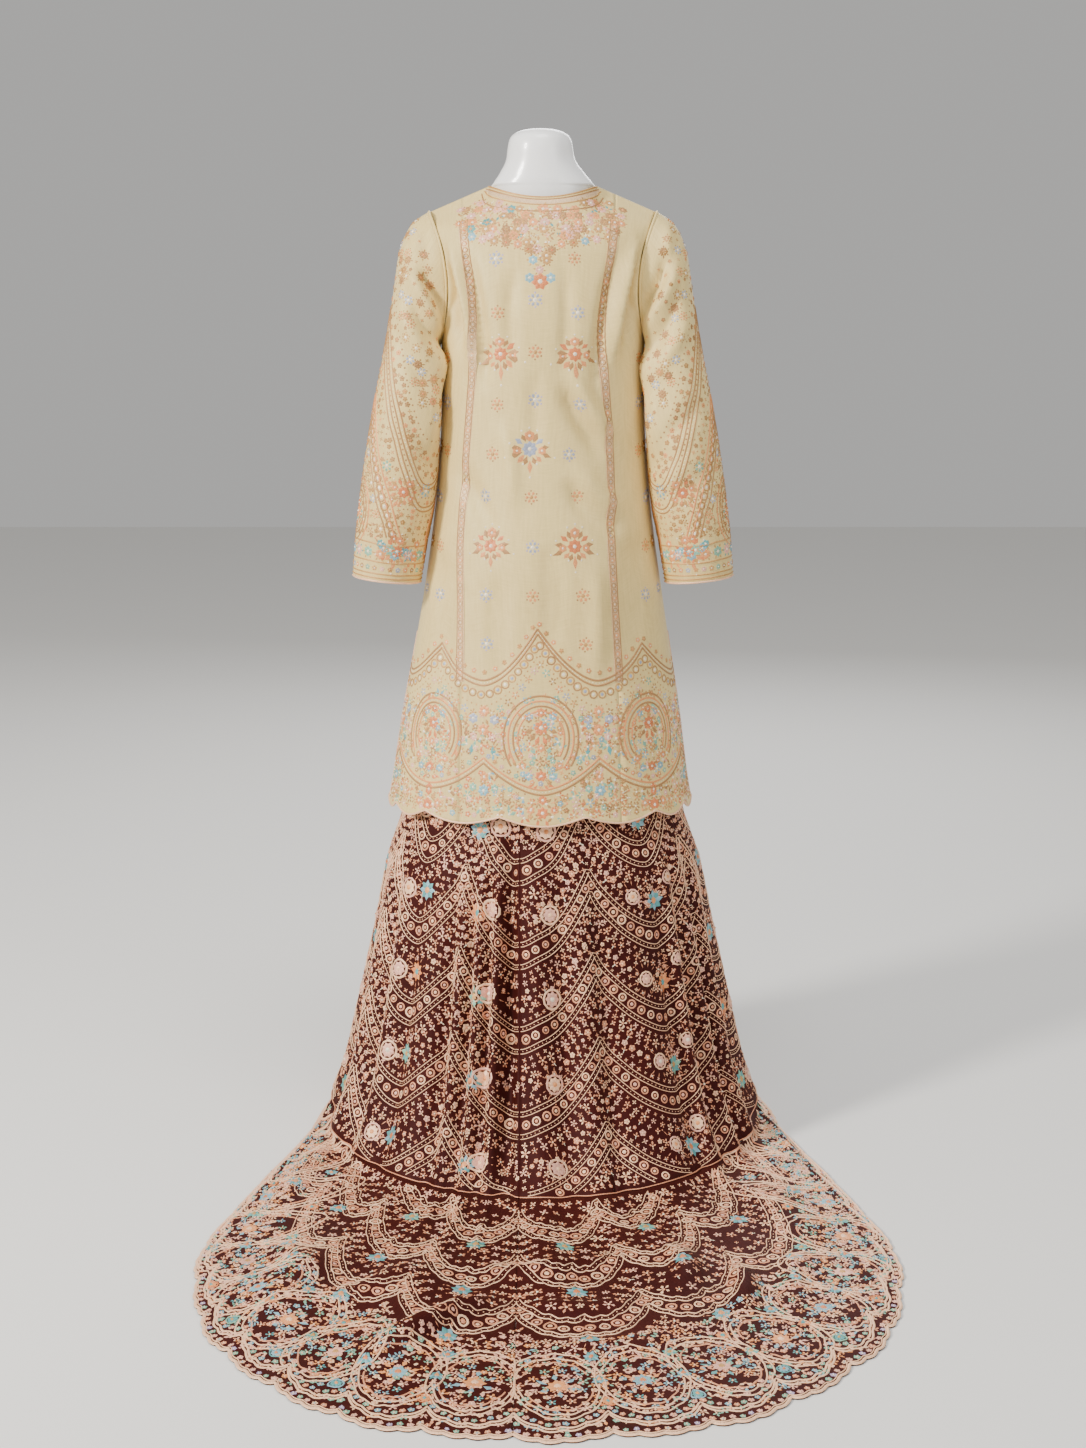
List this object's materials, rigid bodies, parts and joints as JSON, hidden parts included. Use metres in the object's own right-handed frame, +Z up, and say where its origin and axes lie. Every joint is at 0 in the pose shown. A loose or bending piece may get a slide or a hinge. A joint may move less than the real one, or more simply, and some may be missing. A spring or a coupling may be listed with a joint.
{
  "type": "sharara suit on a dress form",
  "caption": "Long-sleeved embroidered kurta over a wide two-legged sharara with a round train, worn on a limbless dress form on a round stand.",
  "frame": {"origin": "centre of the stand's underside, on the surface it stands on", "axes": "+Z up, +Y the way the wearer faces, +X to the wearer's right"},
  "size_m": [0.938, 1.339, 1.506],
  "materials": {
    "form": "glossy white",
    "steel": "brushed",
    "silk": "silk, soft sheen",
    "braid": "metallic thread",
    "maroon": "silk, matt"
  },
  "bodies": {
    "root": {"form_body": "form", "form_neck_cap": "form", "stand_base": "steel", "stand_pole": "steel", "stand_collar": "steel", "kurta_back_centre": "silk", "kurta_back_side_right": "silk", "kurta_back_side_left": "silk", "kurta_front_centre": "silk", "kurta_front_side_right": "silk", "kurta_front_side_left": "silk", "kurta_back_band_right": "braid", "kurta_back_band_left": "braid", "kurta_back_neckband": "braid", "kurta_front_band_right": "braid", "kurta_front_band_left": "braid", "kurta_front_neckband": "braid", "kurta_sleeve_left": "silk", "kurta_sleeve_right": "silk", "sharara_left_back_inner_gore": "maroon", "sharara_left_back_gore": "maroon", "sharara_left_side_gore": "maroon", "sharara_left_front_gore": "maroon", "sharara_left_front_inner_gore": "maroon", "sharara_left_train": "maroon", "sharara_left_front_flare": "maroon", "sharara_left_inner_leg": "maroon", "sharara_right_back_inner_gore": "maroon", "sharara_right_back_gore": "maroon", "sharara_right_side_gore": "maroon", "sharara_right_front_gore": "maroon", "sharara_right_front_inner_gore": "maroon", "sharara_right_train": "maroon", "sharara_right_front_flare": "maroon", "sharara_right_inner_leg": "maroon", "sharara_waistband": "maroon"}
  },
  "joints": []
}
